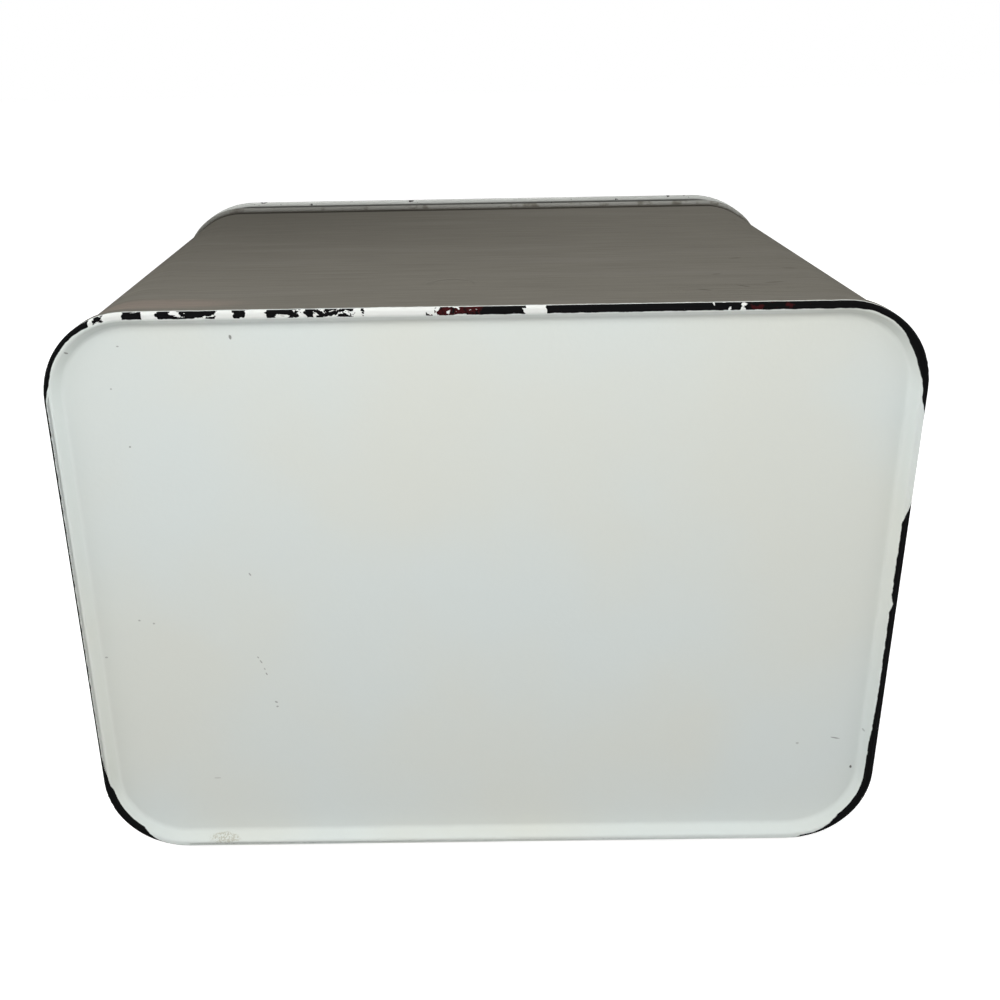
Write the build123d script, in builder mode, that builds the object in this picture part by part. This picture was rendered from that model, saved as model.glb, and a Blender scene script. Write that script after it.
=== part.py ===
"""A bread bin of enamelled sheet steel, with rounded corners and a lift-off lid.

The bin stands on the rim round its recessed base. Its wall is one wrapped sheet, folded into the
base at the bottom and rolled round a wire at the mouth. The lid rests on the mouth's bead, and a
collar below it keeps it centred. All sizes are in millimetres. +X runs along the bin's length,
+Y from front to back and +Z up through the mouth, from the middle of the plane it stands on.
"""

import os

from build123d import *

os.makedirs("parts", exist_ok=True)

# The bin, measured over its base rim
width = 330
depth = 241
height = 242
corner_radius = 34

# Steel sheet with its enamel, and the wall's place inside the base rim
sheet = 0.8
wall_inset = 1.5
fold_gap = 0.1
lap_width = 10

# The base: a hem folded round the wall's bottom edge, and a panel raised off the table
hem_height = 7
hem_bend = 0.95
foot_width = 2.8
recess_depth = 4.5
recess_slope = 2.8
recess_bend = 2.2
panel_edge = 18

# The mouth's bead and the wire inside it
mouth_bead_radius = 1.6
wire_gap = 0.1

# The lid: a rolled edge that overhangs the wall, a flange and a low pressed dome
lid_overhang = 5
lid_corner_radius = 40.5
lid_bead_radius = 1.9
rest_gap = 0.3
flange_width = 10
dome_height = 17
dome_slope = 3
flange_bend = 2.5
shoulder_bend = 9
dome_edge = 26

# The collar below the lid
collar_gap = 1
collar_drop = 14
collar_flange = 4.5
collar_bend = 1.2

# Strap handles, on the two short walls and on the lid
side_handle_height = 160
side_handle_span = 96
side_handle_reach = 27
lid_handle_span = 104
lid_handle_reach = 30
strap_width = 20
strap_thickness = 2
foot_length = 17
grip_slant = 12
grip_bend = 13
foot_bend = 4
foot_round = 8
strap_edge = 0.6

# Rivets
rivet_radius = 2.2
rivet_hole_gap = 0.1
rivet_head_radius = 4.6
rivet_head_height = 1.9
burr_radius = 3.8
burr_height = 1.2

# Where the pieces meet
wall_face = wall_inset + sheet
mouth_bead_inset = wall_face - mouth_bead_radius
mouth_bead_z = height - mouth_bead_radius
lid_bead_inset = wall_inset - lid_overhang + lid_bead_radius
lid_bead_z = mouth_bead_z + mouth_bead_radius + rest_gap + lid_bead_radius
flange_z = lid_bead_z + lid_bead_radius - sheet / 2
dome_z = flange_z + dome_height
lid_top = dome_z + sheet / 2
base_panel_z = recess_depth + sheet / 2
collar_inset = wall_face + collar_gap


def section_point(inset, z):
    """A point of the front wall's section, by its distance inside the base rim's outer face."""
    return (inset - depth / 2, z)


def outline_path(corner=corner_radius):
    """The base rim's outline as a closed line, which a section follows; the lid has wider corners."""
    half_x = width / 2
    half_y = depth / 2
    right = [(0, -half_y), (half_x, -half_y), (half_x, half_y), (0, half_y)]
    with BuildLine() as outline:
        FilletPolyline(*right, radius=corner)
        mirror(about=Plane.YZ)
    return outline.wire()


def panel(inset, z, corner=corner_radius):
    """A flat rounded sheet whose underside is at z, added to the piece in work."""
    with BuildSketch(Plane.XY.offset(z)) as flat:
        RectangleRounded(width - 2 * inset, depth - 2 * inset, corner - inset)
    extrude(flat.sketch, amount=sheet)


def wire_ring(inset, z, radius, corner=corner_radius):
    """A round wire that follows the outline."""
    with BuildSketch(Plane.YZ) as section:
        with Locations(section_point(inset, z)):
            Circle(radius)
    sweep(sections=section.sketch, path=outline_path(corner))


def strap(seat, span, reach):
    """A bent strap handle that stands on the seat's plane, its length along the seat's X."""
    centre = strap_thickness / 2
    outer = span / 2 + foot_length
    with BuildSketch(seat) as bow:
        with BuildLine():
            FilletPolyline(
                (-outer, centre),
                (-span / 2, centre),
                (-span / 2 + grip_slant, reach - centre),
                (span / 2 - grip_slant, reach - centre),
                (span / 2, centre),
                (outer, centre),
                radius=[foot_bend, grip_bend, grip_bend, foot_bend],
            )
        trace(line_width=strap_thickness)
    blank = extrude(bow.sketch, amount=strap_width / 2, both=True)
    foot_ends = blank.edges().filter_by(Axis(seat.origin, seat.y_dir))
    rounded = fillet(foot_ends, foot_round)
    sides = rounded.faces().filter_by(Axis(seat.origin, seat.z_dir))
    fillet(sides.edges(), strap_edge)
    rivet_holes(seat, span, strap_thickness)


def rivet_holes(seat, span, deep):
    """Holes for a handle's rivets, cut outwards from its seat, or inwards where deep is negative."""
    for foot in foot_planes(seat, span):
        with BuildSketch(foot) as hole:
            Circle(rivet_radius + rivet_hole_gap)
        extrude(hole.sketch, amount=deep, mode=Mode.SUBTRACT)


def foot_planes(seat, span):
    """The two planes, facing outwards, on which a handle's feet stand, at their rivets."""
    reach = span / 2 + foot_length / 2
    return [
        Plane(seat.from_local_coords((side * reach, 0, 0)), x_dir=seat.x_dir, z_dir=seat.y_dir)
        for side in (-1, 1)
    ]


def rivet(foot):
    """A round-headed rivet through a handle's foot and the sheet behind it."""
    turned = Plane(foot.origin, x_dir=foot.x_dir, z_dir=-foot.y_dir)
    back = -sheet - burr_height
    with BuildSketch(turned) as half:
        with BuildLine():
            Polyline(
                (0, back),
                (burr_radius, back),
                (burr_radius, -sheet),
                (rivet_radius, -sheet),
                (rivet_radius, strap_thickness),
                (rivet_head_radius, strap_thickness),
            )
            crown = strap_thickness + rivet_head_height
            TangentArc((0, crown), (rivet_head_radius, strap_thickness), tangent=(1, 0))
            Line((0, crown), (0, back))
        make_face()
    revolve(half.sketch, axis=Axis(foot.origin, foot.z_dir))


side_x = width / 2 - wall_inset
side_seats = {
    "left": Plane((-side_x, 0, side_handle_height), x_dir=(0, 1, 0), z_dir=(0, 0, 1)),
    "right": Plane((side_x, 0, side_handle_height), x_dir=(0, 1, 0), z_dir=(0, 0, -1)),
}
lid_seat = Plane((0, 0, lid_top), x_dir=(1, 0, 0), z_dir=(0, -1, 0))

# Wall: one sheet wrapped round and lapped at the back, folded at the foot, beaded at the mouth
with BuildPart() as body_wall:
    fold_inset = sheet + fold_gap
    fold_top = hem_height - sheet - fold_gap
    with BuildSketch(Plane.YZ) as wall_section:
        with Locations(section_point(wall_inset, fold_inset)):
            Rectangle(sheet, mouth_bead_z - fold_inset, align=(Align.MIN, Align.MIN))
        with Locations(section_point(fold_inset, fold_inset)):
            Rectangle(wall_face - fold_inset, fold_top - fold_inset, align=(Align.MIN, Align.MIN))
        fold_corners = wall_section.vertices().group_by(Axis.X)[0]
        fillet(fold_corners, hem_bend - sheet / 2 - fold_gap)
        with Locations(section_point(mouth_bead_inset, mouth_bead_z)):
            Circle(mouth_bead_radius)
            Circle(mouth_bead_radius - sheet, mode=Mode.SUBTRACT)
    sweep(sections=wall_section.sketch, path=outline_path())
    lap_bottom = base_panel_z + sheet
    lap_top = mouth_bead_z - collar_drop - mouth_bead_radius
    with BuildSketch(Plane.XZ.offset(-(depth / 2 - wall_face))):
        with Locations((0, lap_bottom)):
            Rectangle(lap_width, lap_top - lap_bottom, align=(Align.CENTER, Align.MIN))
    extrude(amount=sheet)
    for seat in side_seats.values():
        rivet_holes(seat, side_handle_span, -2 * sheet)
body_wall.part.label = "body_wall"
export_step(body_wall.part, "parts/body_wall.step")

# Base: one pressing, hemmed up round the wall's foot and set in to a flat panel
with BuildPart() as base_pan:
    lip_inset = wall_inset - fold_gap
    with BuildSketch(Plane.YZ) as pan_section:
        with BuildLine():
            FilletPolyline(
                section_point(lip_inset, hem_height - sheet / 2),
                section_point(sheet / 2, hem_height - sheet / 2),
                section_point(sheet / 2, sheet / 2),
                section_point(foot_width, sheet / 2),
                section_point(foot_width + recess_slope, base_panel_z),
                section_point(panel_edge, base_panel_z),
                radius=[hem_bend, hem_bend, hem_bend, recess_bend],
            )
        trace(line_width=sheet)
    sweep(sections=pan_section.sketch, path=outline_path())
    panel(panel_edge, recess_depth)
base_pan.part.label = "base_pan"
export_step(base_pan.part, "parts/base_pan.step")

# Mouth wire, closed inside the wall's bead
with BuildPart() as mouth_wire:
    wire_ring(mouth_bead_inset, mouth_bead_z, mouth_bead_radius - sheet - wire_gap)
mouth_wire.part.label = "mouth_wire"
export_step(mouth_wire.part, "parts/mouth_wire.step")

# Side handles and their rivets
for side, seat in side_seats.items():
    with BuildPart() as side_handle:
        strap(seat, side_handle_span, side_handle_reach)
    side_handle.part.label = f"{side}_handle"
    export_step(side_handle.part, f"parts/{side}_handle.step")
    with BuildPart() as side_rivets:
        for foot in foot_planes(seat, side_handle_span):
            rivet(foot)
    side_rivets.part.label = f"{side}_handle_rivets"
    export_step(side_rivets.part, f"parts/{side}_handle_rivets.step")

# Lid: one pressing with a rolled edge, a flange over the mouth and a low dome
with BuildPart() as lid_shell:
    with BuildSketch(Plane.YZ) as lid_section:
        with BuildLine():
            FilletPolyline(
                section_point(lid_bead_inset, flange_z),
                section_point(flange_width, flange_z),
                section_point(flange_width + dome_slope, dome_z),
                section_point(dome_edge, dome_z),
                radius=[flange_bend, shoulder_bend],
            )
        trace(line_width=sheet)
        with Locations(section_point(lid_bead_inset, lid_bead_z)):
            Circle(lid_bead_radius)
            Circle(lid_bead_radius - sheet, mode=Mode.SUBTRACT)
    sweep(sections=lid_section.sketch, path=outline_path(lid_corner_radius))
    panel(dome_edge, dome_z - sheet / 2, lid_corner_radius)
    rivet_holes(lid_seat, lid_handle_span, -2 * sheet)
lid_shell.part.label = "lid_shell"
export_step(lid_shell.part, "parts/lid_shell.step")

# Lid wire, closed inside the lid's rolled edge
with BuildPart() as lid_wire:
    lid_wire_radius = lid_bead_radius - sheet - wire_gap
    wire_ring(lid_bead_inset, lid_bead_z, lid_wire_radius, lid_corner_radius)
lid_wire.part.label = "lid_wire"
export_step(lid_wire.part, "parts/lid_wire.step")

# Collar: an angle strip welded under the flange, which keeps the lid centred in the mouth
with BuildPart() as lid_collar:
    collar_top = flange_z - sheet
    with BuildSketch(Plane.YZ) as collar_section:
        with BuildLine():
            FilletPolyline(
                section_point(collar_inset + collar_flange, collar_top),
                section_point(collar_inset + sheet / 2, collar_top),
                section_point(collar_inset + sheet / 2, mouth_bead_z - collar_drop),
                radius=collar_bend,
            )
        trace(line_width=sheet)
    sweep(sections=collar_section.sketch, path=outline_path())
lid_collar.part.label = "lid_collar"
export_step(lid_collar.part, "parts/lid_collar.step")

# Lid handle and its rivets
with BuildPart() as lid_handle:
    strap(lid_seat, lid_handle_span, lid_handle_reach)
lid_handle.part.label = "lid_handle"
export_step(lid_handle.part, "parts/lid_handle.step")

with BuildPart() as lid_handle_rivets:
    for foot in foot_planes(lid_seat, lid_handle_span):
        rivet(foot)
lid_handle_rivets.part.label = "lid_handle_rivets"
export_step(lid_handle_rivets.part, "parts/lid_handle_rivets.step")
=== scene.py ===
from math import pi, radians

import bpy
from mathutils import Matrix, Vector

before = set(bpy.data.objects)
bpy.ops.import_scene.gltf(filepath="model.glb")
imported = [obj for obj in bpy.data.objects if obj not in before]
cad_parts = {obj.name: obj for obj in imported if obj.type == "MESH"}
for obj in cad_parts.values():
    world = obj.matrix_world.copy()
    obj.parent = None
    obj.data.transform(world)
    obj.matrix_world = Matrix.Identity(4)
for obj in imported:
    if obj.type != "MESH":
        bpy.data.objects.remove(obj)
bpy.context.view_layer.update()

bpy.ops.object.select_all(action="DESELECT")


# The base pan: one steel pressing, sunk so that the bin stands on its rim, with the rim hemmed over
# the wall's foot. It is dipped in white enamel and lined by hand in black, which has chipped and rusted
# along the front. The panel has small dark marks and a stain, and the wall's paint laps onto the hem.

def srgb(red, green, blue):
    """A screen colour, 0 to 255, as the linear colour that a shader takes."""
    def linear(c):
        c /= 255
        return c / 12.92 if c <= 0.04045 else ((c + 0.055) / 1.055) ** 2.4
    return (linear(red), linear(green), linear(blue), 1)


def add(tree, kind, inputs=None, **settings):
    """Add one shader node; each input takes a value or another node's output."""
    made = tree.nodes.new("ShaderNode" + kind)
    for name, value in settings.items():
        setattr(made, name, value)
    for socket, value in (inputs or {}).items():
        if isinstance(value, bpy.types.NodeSocket):
            tree.links.new(value, made.inputs[socket])
        else:
            made.inputs[socket].default_value = value
    return made


def calc(tree, operation, *values):
    return add(tree, "Math", dict(enumerate(values)), operation=operation).outputs[0]


def times(tree, *factors):
    product = factors[0]
    for factor in factors[1:]:
        product = calc(tree, "MULTIPLY", product, factor)
    return product


def invert(tree, value):
    return calc(tree, "SUBTRACT", 1.0, value)


def rise(tree, value, start, end):
    """0 where value is at start or before, 1 at end or past it, with a smooth edge between."""
    inputs = {"Value": value, "From Min": start, "From Max": end}
    return add(tree, "MapRange", inputs, interpolation_type="SMOOTHSTEP").outputs["Result"]


def fall(tree, value, start, end):
    """1 where value is at start or before, 0 at end or past it."""
    return invert(tree, rise(tree, value, start, end))


def mix(tree, factor, under, over):
    return add(tree, "Mix", {0: factor, 6: under, 7: over}, data_type="RGBA").outputs[2]


def vector_calc(tree, operation, *vectors):
    made = add(tree, "VectorMath", dict(enumerate(vectors)), operation=operation)
    return made.outputs["Value" if operation in ("LENGTH", "DISTANCE") else "Vector"]


def millimetres(tree, scale=(1, 1, 1), offset=(0, 0, 0)):
    """The place on the bin in millimetres, stretched by scale."""
    place = add(tree, "TexCoord").outputs["Object"]
    scaled = [1000 * s for s in scale]
    return add(tree, "Mapping", {"Vector": place, "Location": offset, "Scale": scaled}).outputs[0]


def coordinate(tree, axis):
    return add(tree, "SeparateXYZ", {0: millimetres(tree)}).outputs["XYZ".index(axis)]


def noise(tree, vector, scale, detail=2.0, roughness=0.5, distortion=0.0):
    inputs = {"Vector": vector, "Scale": scale, "Detail": detail, "Roughness": roughness,
              "Distortion": distortion}
    return add(tree, "TexNoise", inputs).outputs["Fac"]


def curve(tree, value, points):
    """A value read from straight runs between points, both from 0 to 1."""
    made = add(tree, "FloatCurve", {"Value": value})
    line = made.mapping.curves[0]
    line.points[0].location, line.points[1].location = points[0], points[-1]
    for point in points[1:-1]:
        line.points.new(*point)
    for point in line.points:
        point.handle_type = "VECTOR"
    made.mapping.update()
    return made.outputs[0]


def new_group(name, inputs, outputs):
    """A node group with its inputs' usual values, and number outputs."""
    group = bpy.data.node_groups.new(name, "ShaderNodeTree")
    for socket, value in inputs.items():
        kind = "NodeSocketVector" if isinstance(value, tuple) else "NodeSocketFloat"
        made = group.interface.new_socket(socket, in_out="INPUT", socket_type=kind)
        made.default_value = value
    for socket in outputs:
        group.interface.new_socket(socket, in_out="OUTPUT", socket_type="NodeSocketFloat")
    given, result = group.nodes.new("NodeGroupInput"), group.nodes.new("NodeGroupOutput")
    return group, given.outputs, result.inputs


def use(tree, group, **inputs):
    """Place a node group in a material with its own values."""
    made = tree.nodes.new("ShaderNodeGroup")
    made.node_tree = group
    for socket, value in inputs.items():
        made.inputs[socket.replace("_", " ")].default_value = value
    return made.outputs


def new_finish(name, **sockets):
    """A Principled material with plain values on the named sockets."""
    finish = bpy.data.materials.new(name)
    finish.use_nodes = True
    shader = finish.node_tree.nodes["Principled BSDF"]
    for socket, value in sockets.items():
        shader.inputs[socket.replace("_", " ")].default_value = value
    return finish, finish.node_tree, shader


def plug(tree, shader, **inputs):
    for socket, value in inputs.items():
        tree.links.new(value, shader.inputs[socket.replace("_", " ")])


def bump(tree, height, strength):
    inputs = {"Height": height, "Strength": strength, "Distance": 0.0006}
    return add(tree, "Bump", inputs).outputs[0]


def dress(finish, *nodes):
    """Give a finish to CAD nodes."""
    for name in nodes:
        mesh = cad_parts[name].data
        mesh.materials.clear()
        mesh.materials.append(finish)


# How far in from the bin's rounded outline a point lies, in millimetres, and its turn round the
# outline from 0 to 1, starting at the -X side and passing the front first.
rim_length, rim_depth, rim_corner = 330.0, 241.0, 34.0
outline, given, result = new_group(
    "outline_inset", {"Half length": rim_length / 2, "Half width": rim_depth / 2, "Corner": rim_corner},
    ["Inset", "Turn"])
across, along = coordinate(outline, "X"), coordinate(outline, "Y")
past_x, past_y = (
    calc(outline, "SUBTRACT", calc(outline, "ABSOLUTE", value),
         calc(outline, "SUBTRACT", given[half], given["Corner"]))
    for value, half in ((across, "Half length"), (along, "Half width")))
squared_x, squared_y = (
    calc(outline, "POWER", calc(outline, "MAXIMUM", value, 0.0), 2.0) for value in (past_x, past_y))
round_part = calc(outline, "SQRT", calc(outline, "ADD", squared_x, squared_y))
flat_part = calc(outline, "MINIMUM", calc(outline, "MAXIMUM", past_x, past_y), 0.0)
inset = calc(outline, "SUBTRACT", given["Corner"], calc(outline, "ADD", round_part, flat_part))
turn = calc(outline, "MULTIPLY_ADD", calc(outline, "ARCTAN2", along, across), 0.5 / pi, 0.5)
outline.links.new(inset, result["Inset"])
outline.links.new(turn, result["Turn"])

# The skin of fired enamel: broad soft waves under a fine orange peel as a height, clouds of a slightly
# warmer white, and dark pinholes in a third of its cells.
enamel_skin, given, result = new_group("enamel_skin", {"Peel": 0.35}, ["Height", "Cloud", "Pinholes"])
waves = noise(enamel_skin, millimetres(enamel_skin), scale=0.018, detail=1.5)
peel = noise(enamel_skin, millimetres(enamel_skin), scale=0.45, detail=1.0)
cloud = noise(enamel_skin, millimetres(enamel_skin, offset=(40, 15, 5)), scale=0.009, detail=3.0,
              roughness=0.45)
cells = add(enamel_skin, "TexVoronoi", {"Vector": millimetres(enamel_skin), "Scale": 0.045}).outputs
chance = add(enamel_skin, "SeparateColor", {0: cells["Color"]}).outputs[0]
pinhole_size = calc(enamel_skin, "MULTIPLY_ADD", chance, 0.06, -0.04)
pinholes = calc(enamel_skin, "LESS_THAN", cells["Distance"], pinhole_size)
enamel_skin.links.new(calc(enamel_skin, "MULTIPLY_ADD", peel, given["Peel"], waves), result["Height"])
enamel_skin.links.new(cloud, result["Cloud"])
enamel_skin.links.new(pinholes, result["Pinholes"])

# One small mark: full strength inside its reach round its place, with a ragged edge.
small_mark, given, result = new_group(
    "small_mark",
    {"Place": (0.0, 0.0, 0.0), "Reach": (1.0, 1.0, 1.0), "Softness": 0.3, "Slant": 0.0}, ["Mask"])
away = vector_calc(small_mark, "SUBTRACT", millimetres(small_mark), given["Place"])
turned = add(small_mark, "VectorRotate", {"Vector": away, "Angle": given["Slant"]},
             rotation_type="Z_AXIS").outputs[0]
distance = vector_calc(small_mark, "LENGTH", vector_calc(small_mark, "DIVIDE", turned, given["Reach"]))
raggedness = 0.9
edge_noise = noise(small_mark, millimetres(small_mark), scale=1.1)
ragged = calc(small_mark, "MULTIPLY_ADD", edge_noise, raggedness, -raggedness / 2)
mask = fall(small_mark, calc(small_mark, "ADD", ragged, distance), 1.0,
            calc(small_mark, "ADD", given["Softness"], 1.0))
small_mark.links.new(mask, result["Mask"])

# Hand brushing: long level streaks round the bin, fine ones over broad bands.
brushing, given, result = new_group("brushing", {"Fineness": 1.0}, ["Streaks", "Bands"])
streaks = noise(brushing, millimetres(brushing, scale=(0.022, 0.022, 1.0)),
                scale=times(brushing, given["Fineness"], 1.1), detail=3.0, roughness=0.62)
bands = noise(brushing, millimetres(brushing, scale=(0.1, 0.1, 0.8)),
              scale=times(brushing, given["Fineness"], 0.07), detail=3.0)
brushing.links.new(streaks, result["Streaks"])
brushing.links.new(bands, result["Bands"])

# All the gloss comes from the coat, which reflects as sharply as fired enamel.
gloss = dict(Coat_Roughness=0.06, Specular_IOR_Level=0.0)
white, warm_white, pinhole = srgb(220, 227, 224), srgb(222, 225, 217), srgb(70, 66, 60)
# The first white below is painted light for the base's slope; the chips' white and the stain's brown
# are real.
slope_light_white, chip_white, stain_brown = srgb(242, 246, 243), srgb(232, 234, 230), srgb(158, 152, 122)
black, rust = srgb(12, 12, 13), srgb(58, 17, 19)
taupe, dark_taupe = srgb(124, 121, 112), srgb(113, 110, 102)


def white_enamel(tree, skin):
    """The enamel's colour, with its clouds and pinholes."""
    clouded = mix(tree, rise(tree, skin["Cloud"], 0.35, 0.68), white, warm_white)
    return mix(tree, skin["Pinholes"], clouded, pinhole)


base_finish, tree, shader = new_finish("base_enamel", Roughness=0.5, **gloss)
rim = use(tree, outline)
skin = use(tree, enamel_skin, Peel=0.35)
strokes = use(tree, brushing, Fineness=1.0)
left_right, front_back, height_up = (coordinate(tree, axis) for axis in "XYZ")
along_front = calc(tree, "MULTIPLY_ADD", left_right, 1 / rim_length, 0.5)
edge_noise = noise(tree, millimetres(tree), scale=0.22, detail=3.0, roughness=0.6)
ragged = calc(tree, "SUBTRACT", edge_noise, 0.5)

# The black line's width in from the rim's edge, as a share of its widest, by the turn round the rim.
# It goes about a millimetre up the rim's outer face, and is left out where it has no width.
widest_line, line_blur, line_top = 6.0, 0.12, 0.95
line_width = curve(tree, rim["Turn"], [
    (0.0, 0.17), (0.078, 0.18), (0.083, 0.40), (0.09, 0.33), (0.10, 0.31), (0.112, 0.42),
    (0.15, 0.48), (0.25, 0.49), (0.35, 0.46), (0.384, 0.47), (0.389, 0.41), (0.396, 0.40),
    (0.401, 0.45), (0.406, 0.60), (0.413, 0.66), (0.418, 0.56), (0.4225, 0.37), (0.4275, 0.34),
    (0.4305, 0.02), (0.462, 0.02), (0.468, 0.50), (0.501, 0.50), (0.502, 0.0), (0.5032, 0.0),
    (0.5042, 0.48), (0.545, 0.48), (0.56, 0.54), (0.585, 0.70), (0.598, 0.64), (0.606, 0.34),
    (0.611, 0.25), (0.6155, 0.32), (0.6165, 0.0), (0.888, 0.0), (0.894, 0.30), (0.9, 0.68),
    (0.908, 0.78), (0.916, 0.66), (0.924, 0.42), (0.931, 0.18), (0.94, 0.17), (1.0, 0.17)])
past_line = calc(tree, "SUBTRACT", rim["Inset"],
                 calc(tree, "ADD", times(tree, line_width, widest_line), ragged))
in_line = times(
    tree, fall(tree, past_line, -line_blur, line_blur),
    fall(tree, calc(tree, "MULTIPLY_ADD", ragged, 0.5, height_up), line_top, line_top + 0.15),
    rise(tree, line_width, 0.015, 0.04))

# How much of the line has chipped off, and how much has rusted, along the rim's front from -X (0) to
# +X (1).
chip_share = curve(tree, along_front, [
    (0.0, 0.26), (0.056, 0.26), (0.064, 0.58), (0.074, 0.58), (0.076, 0.46), (0.08, 0.46),
    (0.082, 0.62), (0.096, 0.62), (0.10, 0.34), (0.121, 0.34), (0.124, 0.7), (0.139, 0.7),
    (0.142, 0.34), (0.158, 0.40), (0.163, 0.50), (0.17, 0.40), (0.18, 0.5), (0.195, 0.5),
    (0.202, 0.40), (0.21, 0.8), (0.22, 0.8), (0.225, 0.4), (0.235, 0.4), (0.24, 0.8), (0.256, 0.8),
    (0.26, 0.44), (0.28, 0.5), (0.285, 0.46), (0.35, 0.46), (0.368, 0.5), (0.372, 0.8), (0.43, 0.8),
    (0.435, 0.52), (0.48, 0.46), (0.49, 0.36), (0.546, 0.36), (0.548, 0.8), (0.566, 0.8),
    (0.57, 0.24), (0.74, 0.28), (0.77, 0.47), (0.785, 0.5), (0.79, 0.3), (1.0, 0.26)])
rust_share = curve(tree, along_front, [
    (0.0, 0.2), (0.42, 0.3), (0.44, 0.54), (0.46, 0.62), (0.49, 0.60), (0.50, 0.4), (0.52, 0.26),
    (0.76, 0.26), (0.79, 0.46), (0.84, 0.47), (0.86, 0.3), (1.0, 0.26)])
chip_noise = noise(tree, millimetres(tree, scale=(1, 1.6, 1.6)), scale=0.2, detail=3.0, roughness=0.6,
                   distortion=0.6)
rust_noise = noise(tree, millimetres(tree, offset=(9, 4, 0)), scale=0.3, detail=3.0, roughness=0.6)
at_front = fall(tree, front_back, -100.0, -90.0)
chipped = times(tree, at_front, rise(tree, calc(tree, "ADD", chip_noise, chip_share), 1.0, 1.015))
rusty = times(tree, at_front, rise(tree, calc(tree, "ADD", rust_noise, rust_share), 0.98, 1.1))

# The panel's stain and its marks: place across and along, length, width, slant in degrees, strength.
panel_height, mark_height = 4.5, 5.5
stain = use(tree, small_mark, Place=(-115.7, 116.8, 0.5), Reach=(4.6, 1.3, 4.0), Softness=0.7)["Mask"]
grains = rise(tree, noise(tree, millimetres(tree), scale=1.2), 0.42, 0.58)
colour = mix(tree, times(tree, stain, grains, 0.5), white_enamel(tree, skin), stain_brown)
marks = 0.0
for x, y, length, width, slant, strength in (
        (-93.9, -109.6, 0.7, 0.4, 80, 0.7), (-94.7, -11.3, 0.6, 0.25, 60, 0.5),
        (-141.6, 9.1, 0.4, 0.3, 0, 0.4), (-135.8, 10.6, 0.4, 0.3, 0, 0.4),
        (-157.3, 26.3, 0.5, 0.3, 0, 0.4), (-94.5, 27.3, 0.4, 0.2, 60, 0.5),
        (-93.4, 29.4, 0.7, 0.2, 60, 0.5), (-92.2, 32.8, 0.4, 0.2, 60, 0.4),
        (-91.6, 35.2, 0.5, 0.2, 60, 0.6), (-88.5, 49.1, 0.5, 0.3, 30, 0.5),
        (-88.2, 51.3, 0.4, 0.3, 0, 0.5), (-116.8, 87.3, 1.2, 0.3, 0, 0.2),
        (148.5, 71.0, 1.6, 0.22, 12, 0.6), (156.7, 85.9, 0.6, 0.4, 80, 0.9),
        (159.7, 66.5, 0.5, 0.3, 60, 0.3), (132.6, 73.4, 0.5, 0.4, 0, 0.3),
        (157.2, 106.7, 0.5, 0.4, 0, 0.4), (-154.4, -105.3, 0.6, 0.3, 60, 0.6),
        (-136.0, -106.7, 0.4, 0.2, 0, 0.5), (-140.5, -90.2, 0.3, 0.25, 0, 0.4),
        (-136.2, -66.8, 0.35, 0.3, 0, 0.5)):
    mark = use(tree, small_mark, Place=(x, y, panel_height), Reach=(length, width, mark_height),
               Softness=0.5, Slant=-radians(slant))["Mask"]
    marks = calc(tree, "MAXIMUM", marks, times(tree, mark, strength))
colour = mix(tree, marks, colour, pinhole)

# Painted light: the slope inside the rim is painted lighter along the middle of the front, over its
# shade.
painted_slope_light = times(
    tree, fall(tree, front_back, -115.6, -114.8),
    fall(tree, calc(tree, "ABSOLUTE", left_right), 95.0, 150.0), rise(tree, rim["Inset"], 2.3, 3.0))
colour = mix(tree, painted_slope_light, colour, slope_light_white)
colour = mix(tree, in_line, colour, mix(tree, chipped, mix(tree, rusty, black, rust), chip_white))

# The wall's paint laps onto the hem's outer face, down to a wavy line above the black one.
wavy_height = calc(tree, "MULTIPLY_ADD", ragged, 1.6, height_up)
on_hem = times(tree, fall(tree, rim["Inset"], 0.75, 0.95), rise(tree, wavy_height, 1.7, 1.9))
paint = mix(tree, rise(tree, strokes["Streaks"], 0.3, 0.7), dark_taupe, taupe)
uncoated = calc(tree, "MAXIMUM", on_hem, times(tree, in_line, 0.9))
plug(tree, shader, Base_Color=mix(tree, on_hem, colour, paint), Coat_Weight=invert(tree, uncoated),
     Normal=bump(tree, skin["Height"], strength=0.25))
dress(base_finish, "base_pan")


# The body wall: a strip of sheet steel wrapped round and lapped at the back, folded in at the foot and
# beaded at the mouth. It is white enamelled inside and brushed by hand outside with a satin paint,
# which is worn off the bead. Painted shade darkens it beside the bead and toward the mouth and the -X
# end.

pale_taupe, worn_bead_grey = srgb(131, 128, 121), srgb(154, 154, 148)
# These two browns are painted shade: on the wall toward the mouth, and beside the bead.
mouth_shade_brown, bead_shade_brown = srgb(52, 50, 46), srgb(30, 28, 25)
# The smear's tan is a real smear; the wrinkles' brown is painted shade.
smear_tan, wrinkle_shade_brown = srgb(156, 138, 128), srgb(62, 59, 53)
wall_inset, mid_sheet, near_bead = 1.5, 0.4, 237.0

wall_finish, tree, shader = new_finish("wall_paint", **gloss)
wall = use(tree, outline, Half_length=rim_length / 2 - wall_inset,
           Half_width=rim_depth / 2 - wall_inset, Corner=rim_corner - wall_inset)
strokes = use(tree, brushing, Fineness=1.0)
skin = use(tree, enamel_skin, Peel=0.35)
left_right, front_back, height_up = (coordinate(tree, axis) for axis in "XYZ")
inside = rise(tree, wall["Inset"], mid_sheet - 0.05, mid_sheet + 0.05)
outside = invert(tree, inside)
paint = mix(tree, rise(tree, strokes["Streaks"], 0.28, 0.72), dark_taupe, taupe)
paint = mix(tree, times(tree, rise(tree, strokes["Bands"], 0.45, 0.75), 0.35), paint, pale_taupe)
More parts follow.
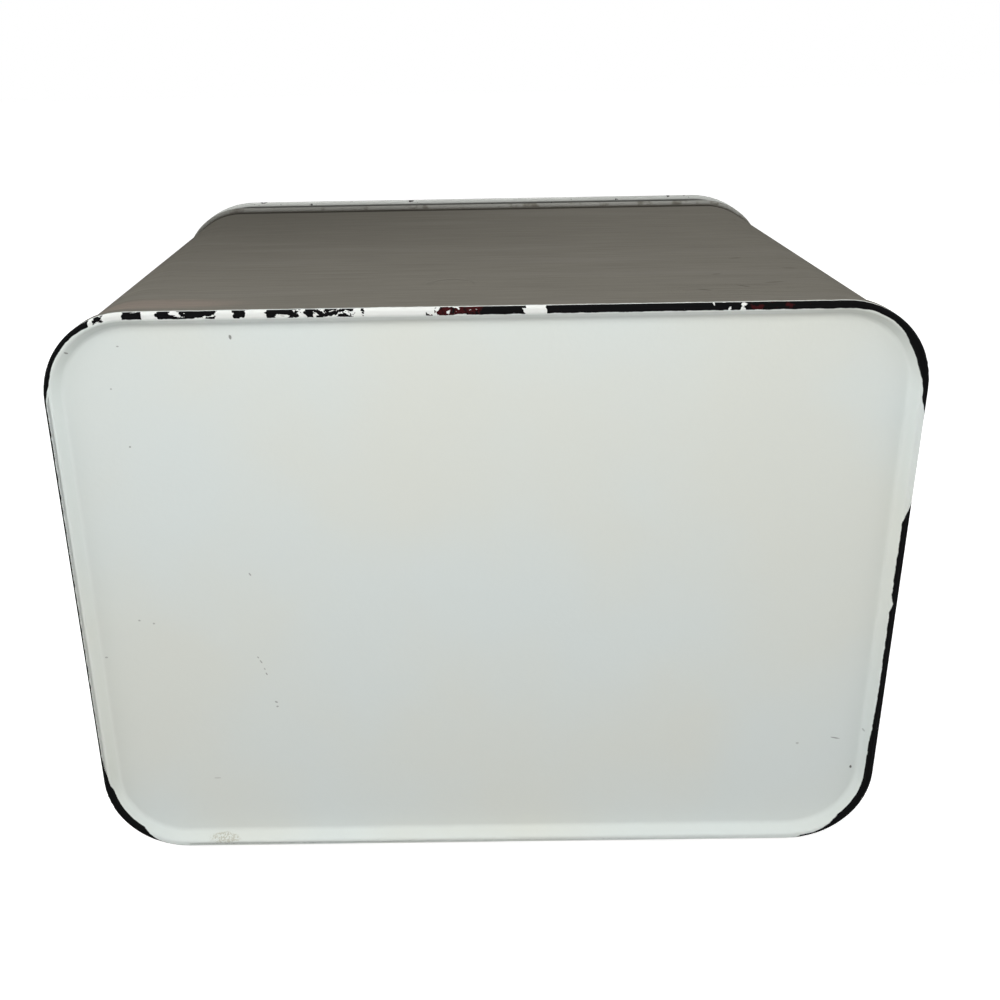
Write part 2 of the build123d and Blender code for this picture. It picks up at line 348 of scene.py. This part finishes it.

# The mouth's bead stands out of the wall, and its paint is worn. Painted shade darkens the paint just
# below the bead and on its top, and the whole wall is painted darker toward the mouth.
worn_noise = noise(tree, millimetres(tree, scale=(1, 1, 0.3)), scale=0.12, detail=3.0, roughness=0.6)
on_bead = times(tree, fall(tree, wall["Inset"], -0.7, -0.4),
                rise(tree, height_up, near_bead, near_bead + 1))
paint = mix(tree, times(tree, on_bead, rise(tree, worn_noise, 0.32, 0.5)), paint, worn_bead_grey)
# Painted shade: the wall grows darker toward the mouth, most at the -X end.
shade_to_left = calc(tree, "MULTIPLY_ADD", fall(tree, left_right, -120.0, 120.0), 0.30, 0.06)
paint = mix(tree, times(tree, rise(tree, height_up, 30.0, 240.0), shade_to_left), paint, mouth_shade_brown)
# Painted shade: a dark line just below the bead and on the outer half of its top.
shade_below_bead = times(tree, rise(tree, height_up, near_bead - 4, near_bead),
                    fall(tree, height_up, 238.2, 239.0))
shade_on_bead_top = times(tree, rise(tree, height_up, 240.8, 241.2), fall(tree, wall["Inset"], -1.0, -0.6))
bead_shade = calc(tree, "MAXIMUM", shade_below_bead, shade_on_bead_top)
paint = mix(tree, times(tree, bead_shade, outside, 0.85), paint, bead_shade_brown)

# On the front: a brown smear near the foot, short wrinkles in the paint drawn as dark lines of painted
# shade, a patch of wrinkled paint, and a shallow crease that is the upper part of a ring.
smear = use(tree, small_mark, Place=(-128.0, -119.0, 18.0), Reach=(20.0, 4.0, 4.5), Softness=1.4)
paint = mix(tree, times(tree, smear["Mask"], strokes["Streaks"], 0.6), paint, smear_tan)
front = fall(tree, front_back, -118.0, -117.5)
# Painted shade: each short wrinkle is a dark line of shade painted into the paint's colour.
wrinkle_shade_lines, wrinkle_width = 0.0, 0.9
for x, z, length, slant in ((85.5, 27.8, 4.0, -28), (102.0, 33.0, 4.0, -40), (115.5, 39.0, 6.0, 8),
                            (96.3, 55.6, 3.0, 10), (111.8, 87.5, 4.0, 10), (129.0, 65.0, 4.0, -12)):
    away = add(tree, "Mapping", {"Vector": millimetres(tree), "Location": (-x, 0, -z)}).outputs[0]
    turned = add(tree, "VectorRotate", {"Vector": away, "Angle": radians(slant)},
                 rotation_type="Y_AXIS").outputs[0]
    shrunk = add(tree, "Mapping", {"Vector": turned, "Scale": (1 / length, 0, 1 / wrinkle_width)})
    wrinkle_line_shade = fall(tree, vector_calc(tree, "LENGTH", shrunk.outputs[0]), 0.3, 1.0)
    wrinkle_shade_lines = calc(tree, "MAXIMUM", wrinkle_shade_lines, wrinkle_line_shade)
paint = mix(tree, times(tree, wrinkle_shade_lines, front, 0.45), paint, wrinkle_shade_brown)

crease_x, crease_z, crease_radius = -11.6, 45.0, 9.5
from_crease = vector_calc(
    tree, "DISTANCE", millimetres(tree, scale=(1, 0, 1)), (crease_x, 0, crease_z))
from_ring = calc(tree, "ABSOLUTE", calc(tree, "SUBTRACT", from_crease, crease_radius))
crease = times(tree, fall(tree, from_ring, 0.3, 1.4), front,
               rise(tree, height_up, crease_z - 4, crease_z + 6))
patch = use(tree, small_mark, Place=(94.0, -118.7, 29.0), Reach=(15.0, 5.0, 5.0), Softness=1.0)["Mask"]
wrinkles = times(tree, patch, noise(tree, millimetres(tree, scale=(0.25, 1, 1)), scale=0.35,
                                    distortion=1.5))
dents = calc(tree, "MULTIPLY_ADD", wrinkles, 2.0, times(tree, crease, -1.2))
height = calc(tree, "ADD", times(tree, strokes["Streaks"], outside), times(tree, skin["Height"], 0.4))
plug(tree, shader, Base_Color=mix(tree, inside, paint, white_enamel(tree, skin)), Coat_Weight=inside,
     Normal=bump(tree, calc(tree, "ADD", height, dents), strength=0.5),
     Roughness=calc(tree, "MULTIPLY_ADD", strokes["Bands"], 0.2, 0.42))
dress(wall_finish, "body_wall")


# The lid: a pressed steel lid with a rolled edge and a low dome, and an angle strip welded below that
# keeps it centred in the mouth. All of it is white enamelled. The rolled edge is greyer, partly from
# dull wear and partly as painted shade, with small dark chips, and painted shade darkens its underside.

# The first white is partly the edge's dull wear and partly painted shade; the first brown is painted
# shade.
dull_and_shaded_white, under_edge_shade_brown, chip_brown = srgb(184, 186, 181), srgb(40, 37, 33), srgb(38, 32, 30)
lid_overhang, lid_corner, shade_top = 3.5, 44.0, 243.0

lid_finish, tree, shader = new_finish("lid_enamel", Roughness=0.5, Coat_Weight=0.8, **gloss)
edge = use(tree, outline, Half_length=rim_length / 2 + lid_overhang,
           Half_width=rim_depth / 2 + lid_overhang, Corner=lid_corner)
skin = use(tree, enamel_skin, Peel=0.35)
# The rolled edge is greyer: partly worn, dull enamel and partly painted shade.
dulled_and_shaded = times(tree, fall(tree, edge["Inset"], 2.5, 4.5), 0.9)
colour = mix(tree, dulled_and_shaded, white_enamel(tree, skin), dull_and_shaded_white)
# Painted shade under the rolled edge, where it overhangs the mouth's bead.
under_edge = fall(tree, coordinate(tree, "Z"), shade_top, shade_top + 0.5)
shade_under_edge = times(tree, under_edge, rise(tree, edge["Inset"], 1.5, 2.4), fall(tree, edge["Inset"], 3.4, 4.2),
             0.75)
colour = mix(tree, shade_under_edge, colour, under_edge_shade_brown)
chip_noise = noise(tree, millimetres(tree, offset=(3, 30, 8)), scale=0.24, detail=3.0, roughness=0.6)
chips = times(tree, fall(tree, edge["Inset"], 1.6, 4.0), rise(tree, chip_noise, 0.66, 0.675))
plug(tree, shader, Base_Color=mix(tree, chips, colour, chip_brown),
     Normal=bump(tree, skin["Height"], strength=0.25))
dress(lid_finish, "lid_shell", "lid_collar")


# The handles: straps of flat steel, bent to a bridge, enamelled black, and riveted on by their two
# feet. The rivets were enamelled with them. Both have small chips down to grey steel.

for name, peel, strength, chip, steel, nodes in (
        ("black_enamel", 0.6, 0.3, dict(scale=0.2, detail=4.0, start=0.66, end=0.68), srgb(84, 78, 74),
         ("left_handle", "right_handle", "lid_handle")),
        ("rivet_enamel", 0.9, 0.4, dict(scale=0.45, detail=3.0, start=0.6, end=0.63), srgb(96, 90, 84),
         ("left_handle_rivets", "right_handle_rivets", "lid_handle_rivets"))):
    finish, tree, shader = new_finish(name, Roughness=0.4, Coat_Weight=1.0, **gloss)
    skin = use(tree, enamel_skin, Peel=peel)
    chip_noise = noise(tree, millimetres(tree), chip["scale"], chip["detail"], roughness=0.6)
    chips = rise(tree, chip_noise, chip["start"], chip["end"])
    plug(tree, shader, Base_Color=mix(tree, chips, black, steel),
         Normal=bump(tree, skin["Height"], strength))
    dress(finish, *nodes)


# The wires: drawn steel wires, closed inside the mouth's bead and the lid's rolled edge to stiffen
# them.

pale_steel, dark_steel = srgb(150, 148, 144), srgb(104, 100, 96)
wire_finish, tree, shader = new_finish("steel_wire", Metallic=1.0)
drawn = noise(tree, millimetres(tree), scale=0.5, detail=3.0, roughness=0.6)
plug(tree, shader, Base_Color=mix(tree, drawn, pale_steel, dark_steel),
     Roughness=calc(tree, "MULTIPLY_ADD", drawn, 0.25, 0.3))
dress(wire_finish, "mouth_wire", "lid_wire")


# The table and the floor: the bin is photographed lying on its back, so a pale sheet stands behind it
# as the table, and a second one lies under its rim for the upright views. Each is seen from its front
# only.

# The table is just behind the lid's edge, which reaches furthest back.
table_place, stage_reach = 0.1242, 6.0
for name, place, turned, paleness, glow_strength in (
        ("table", (0, table_place, 0), (radians(90), 0, 0), 0.8, 0.76),
        ("floor", (0, 0, 0), (0, 0, 0), 0.95, 0.68)):
    stage_finish = bpy.data.materials.new("pale_" + name)
    stage_finish.use_nodes = True
    tree = stage_finish.node_tree
    tree.nodes.remove(tree.nodes["Principled BSDF"])
    matt = add(tree, "BsdfDiffuse", {"Color": (paleness, paleness, paleness, 1)}).outputs[0]
    glow = add(tree, "Emission", {"Color": (1, 1, 1, 1), "Strength": glow_strength}).outputs[0]
    lit = add(tree, "AddShader", {0: matt, 1: glow}).outputs[0]
    clear = add(tree, "BsdfTransparent").outputs[0]
    backfacing = add(tree, "NewGeometry").outputs["Backfacing"]
    front_only = add(tree, "MixShader", {0: backfacing, 1: lit, 2: clear}).outputs[0]
    tree.links.new(front_only, tree.nodes["Material Output"].inputs["Surface"])
    bpy.ops.mesh.primitive_plane_add(size=2 * stage_reach, location=place, rotation=turned)
    sheet = bpy.context.object
    sheet.name = name
    bpy.ops.object.transform_apply()
    sheet.data.materials.append(stage_finish)
    sheet.visible_diffuse = sheet.visible_shadow = False


# The light and the camera: soft even light from a white studio, four softboxes round the base, and two
# for the upright bin's front and back. The camera looks down on the base at the photograph's angle.

studio_level = 0.325
studio = bpy.data.worlds.new("studio")
bpy.context.scene.world = studio
studio.use_nodes = True
tree = studio.node_tree
rays = add(tree, "LightPath").outputs
seen = calc(tree, "MAXIMUM", rays["Is Camera Ray"],
            calc(tree, "MAXIMUM", rays["Is Glossy Ray"], rays["Is Transmission Ray"]))
tree.links.new(mix(tree, seen, (studio_level, studio_level, studio_level, 1), (1, 1, 1, 1)),
               tree.nodes["Background"].inputs["Color"])

for name, place, target, size, power in (
        ("base_softbox", (-0.04, -0.48, -0.48), (0, -0.05, 0), 0.35, 2.35),
        ("left_softbox", (-0.9, -0.3, -0.25), (0, 0, 0.02), 0.6, 2.6),
        ("right_softbox", (0.9, -0.3, -0.25), (0, 0, 0.02), 0.6, 2.6),
        ("table_softbox", (0, 0.55, -0.9), (0, 0, 0), 0.8, 0.4),
        ("front_softbox", (-0.1, -1.65, 0.7), (0, 0, 0.12), 0.7, 6.2),
        ("back_softbox", (-1.1, 1.25, 1.1), (0, 0, 0.12), 1.0, 22.0)):
    bpy.ops.object.light_add(type="AREA", location=place)
    lamp = bpy.context.object
    lamp.name = name
    lamp.rotation_euler = (Vector(target) - Vector(place)).to_track_quat("-Z", "Y").to_euler()
    lamp.data.size, lamp.data.energy = size, power

bpy.ops.object.camera_add(location=(-0.01036, -0.21424, -0.38374),
                          rotation=(radians(159.3), radians(-0.07), radians(1.0)))
camera = bpy.context.object
camera.name = "camera"
camera.data.lens = 39.06
camera.data.shift_x, camera.data.shift_y = 0.05, -0.06
bpy.context.scene.camera = camera
bpy.context.scene.view_settings.view_transform = "Standard"
